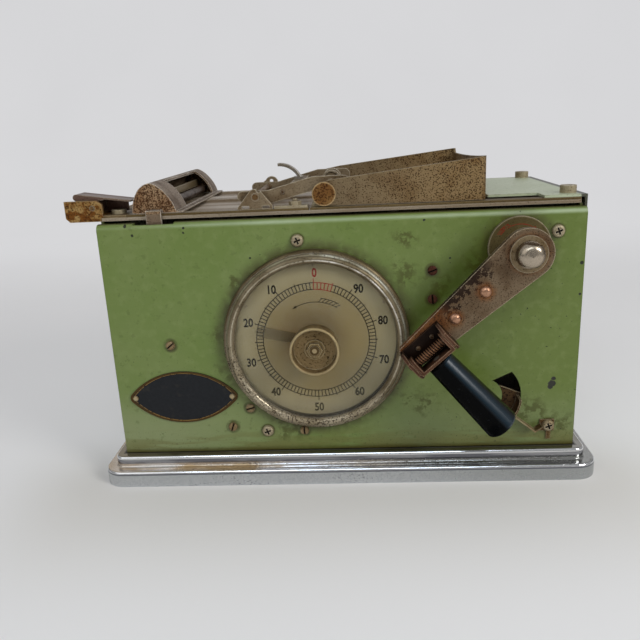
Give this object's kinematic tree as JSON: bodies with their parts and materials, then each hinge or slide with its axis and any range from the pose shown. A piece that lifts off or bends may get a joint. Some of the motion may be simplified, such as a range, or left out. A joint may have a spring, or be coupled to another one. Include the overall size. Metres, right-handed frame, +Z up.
{
  "type": "ticket inspection machine",
  "caption": "Desk-top hand-cranked ticket machine: ticket hopper, presser and viewing hood on top, exit flap, counting dial with setting knob, folding crank, moulded base.",
  "frame": {"origin": "centre of the base underside, on the surface it stands on", "axes": "+X to the right along the long side seen from the front, +Y from the dial side to the rear, +Z up"},
  "size_m": [0.335, 0.2055, 0.206],
  "materials": {
    "green_paint": "sage green gloss enamel, worn and chipped",
    "chrome_plate": "polished plating, pitted in places",
    "nickel_plate": "dull nickel plate with brown rust specks",
    "steel": "bare steel, tarnished",
    "dark_steel": "oiled brown-black steel",
    "brass": "satin brass",
    "copper": "copper rivets, rubbed",
    "roller_rubber": "matt black rubber",
    "dial_face": "aged cream printed dial",
    "dial_glass": "clear glass",
    "black_grip": "satin black moulded grip",
    "black_enamel": "black enamel with a brass rim"
  },
  "bodies": {
    "exit_flap": {"exit_flap": "steel"},
    "hood": {"hood": "nickel_plate", "hood_bar": "steel"},
    "hood_roller": {"hood_roller": "dark_steel"},
    "presser": {"presser_frame": "nickel_plate", "lift_finger": "nickel_plate", "presser_axle": "steel"},
    "presser_rollers": {"presser_rollers": "nickel_plate"},
    "hopper": {"hopper": "nickel_plate"},
    "crank": {"crank_shaft": "steel", "crank_pinion": "steel", "crank_arm": "steel", "crank_washer": "steel", "crank_nut": "chrome_plate", "arm_rivets": "copper", "hinge_bracket": "dark_steel", "hinge_pin": "dark_steel"},
    "handle": {"handle_yoke": "dark_steel", "hinge_spring": "dark_steel", "grip_spindle": "steel"},
    "grip": {"grip": "black_grip"},
    "transfer": {"transfer_gear": "steel"},
    "idler": {"idler_wheel": "brass", "idler_pinion": "steel"},
    "feed": {"feed_gear": "steel", "feed_roller": "roller_rubber"},
    "counter": {"counter_wheel": "brass", "counter_shaft": "steel", "knob_nut": "brass"},
    "hand": {"dial_hand": "dark_steel", "reset_knob": "steel"},
    "lever": {"quadrant_lever": "nickel_plate"},
    "case": {"base_moulding": "chrome_plate", "bottom_plate": "dark_steel", "front_panel": "green_paint", "rear_panel": "green_paint", "side_panels": "green_paint", "inner_frame": "steel", "deck_plate": "nickel_plate", "front_rails": "nickel_plate", "rear_rails": "nickel_plate", "top_cover": "green_paint", "deck_studs": "nickel_plate", "exit_bracket": "nickel_plate", "exit_pin": "dark_steel", "presser_ears": "nickel_plate", "presser_pin": "dark_steel", "gauge_plate": "nickel_plate", "hopper_lugs": "nickel_plate", "hopper_studs": "steel", "dial_bezel": "nickel_plate", "dial_plate": "dial_face", "dial_glass": "dial_glass", "bearing_flange": "nickel_plate", "lever_pivot": "steel", "catch_strip": "nickel_plate", "panel_screws": "nickel_plate", "slotted_screws": "dark_steel", "nameplate": "black_enamel", "nameplate_pins": "brass"}
  },
  "joints": [
    {"name": "exit_flap_tip", "type": "hinge", "parent": "case", "child": "exit_flap", "pos_m": [-0.1532, 0, 0.1845], "axis": [0, -1, 0], "range_deg": [0, 12], "stiffness_Nm_per_rad": 0.05, "springref_deg": -22.92},
    {"name": "hood_slide", "type": "slide", "parent": "case", "child": "hood", "axis": [1, 0, 0], "range_m": [0, 0.006]},
    {"name": "hood_roller_turn", "type": "hinge", "parent": "hood", "child": "hood_roller", "pos_m": [-0.1097, 0, 0.1836], "axis": [0, -1, 0], "continuous": true},
    {"name": "presser_lift", "type": "hinge", "parent": "case", "child": "presser", "pos_m": [-0.0503, 0, 0.1872], "axis": [0, -1, 0], "range_deg": [0, 25]},
    {"name": "presser_roller_turn", "type": "hinge", "parent": "presser", "child": "presser_rollers", "pos_m": [-0.00351, -0.03, 0.19391], "axis": [0, -1, 0], "continuous": true},
    {"name": "hopper_tip", "type": "hinge", "parent": "case", "child": "hopper", "pos_m": [-0.0077, 0, 0.1874], "axis": [0, -1, 0], "range_deg": [0, 60]},
    {"name": "crank_turn", "type": "hinge", "parent": "case", "child": "crank", "pos_m": [0.11, -0.075, 0.1518], "axis": [0, -1, 0], "continuous": true},
    {"name": "handle_fold", "type": "hinge", "parent": "crank", "child": "handle", "pos_m": [0.05298, -0.106, 0.09669], "axis": [-0.7431, 0, -0.6691], "range_deg": [0, 90], "stiffness_Nm_per_rad": 0.03, "springref_deg": -22.92},
    {"name": "grip_turn", "type": "hinge", "parent": "handle", "child": "grip", "pos_m": [0.05298, -0.106, 0.09669], "axis": [0.6691, 0, -0.7431], "continuous": true},
    {"name": "transfer_turn", "type": "hinge", "parent": "case", "child": "transfer", "pos_m": [0.12551, -0.06, 0.12849], "axis": [0, -1, 0], "continuous": true},
    {"name": "idler_turn", "type": "hinge", "parent": "case", "child": "idler", "pos_m": [0.05405, -0.06, 0.11457], "axis": [0, -1, 0], "continuous": true},
    {"name": "feed_turn", "type": "hinge", "parent": "case", "child": "feed", "pos_m": [0.005, -0.02, 0.1605], "axis": [0, -1, 0], "continuous": true},
    {"name": "counter_turn", "type": "hinge", "parent": "case", "child": "counter", "pos_m": [-0.0162, -0.06, 0.09566], "axis": [0, -1, 0], "continuous": true},
    {"name": "hand_set", "type": "hinge", "parent": "counter", "child": "hand", "pos_m": [-0.0162, -0.08, 0.09566], "axis": [0, -1, 0], "continuous": true},
    {"name": "lever_swing", "type": "hinge", "parent": "case", "child": "lever", "pos_m": [0.092, -0.075, 0.0544], "axis": [0, -1, 0], "range_deg": [0, 42]}
  ],
  "couplings": [
    {"joint": "transfer_turn", "follows": "crank_turn", "ratio": -0.66667},
    {"joint": "idler_turn", "follows": "crank_turn", "ratio": 0.2},
    {"joint": "feed_turn", "follows": "crank_turn", "ratio": -1},
    {"joint": "counter_turn", "follows": "crank_turn", "ratio": -0.066667}
  ]
}
